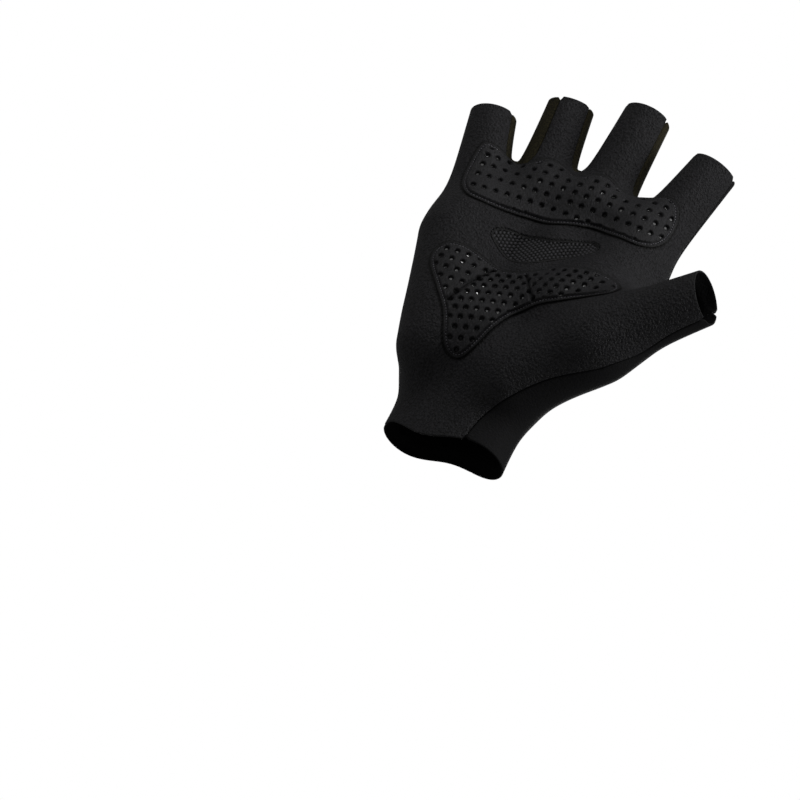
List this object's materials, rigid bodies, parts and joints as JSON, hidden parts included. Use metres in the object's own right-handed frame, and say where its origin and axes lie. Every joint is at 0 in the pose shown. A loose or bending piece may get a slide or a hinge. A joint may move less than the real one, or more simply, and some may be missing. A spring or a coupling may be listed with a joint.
{
  "type": "half-finger fitness glove",
  "caption": "Right-hand half-finger glove, empty, holding a hand's form: knit back, grained palm, dimpled pads, mesh vent and thin strips between the fingers.",
  "frame": {"origin": "centre of the wrist opening, where a wrist passes into the glove", "axes": "+Z from the wrist to the fingertips, -Y out of the back of the hand, +Y out of the palm, -X to the thumb side"},
  "size_m": [0.1264, 0.0635, 0.1661],
  "materials": {
    "back_knit": "fine matte knit",
    "palm_leather": "fine grained synthetic suede",
    "tab_leather": "fine grained synthetic leather",
    "strip_mesh": "thin speckled mesh",
    "pad": "grained and dimpled over foam",
    "vent_mesh": "open woven mesh"
  },
  "bodies": {
    "root": {"back_panel": "back_knit", "palm_panel": "palm_leather", "middle_tab": "tab_leather", "ring_tab": "tab_leather", "fourchette_index_middle": "strip_mesh", "fourchette_middle_ring": "strip_mesh", "fourchette_ring_little": "strip_mesh", "knuckle_pad": "pad", "heel_pad_outer": "pad", "heel_pad_middle": "pad", "heel_pad_thumb": "pad", "palm_vent": "vent_mesh"}
  },
  "joints": []
}
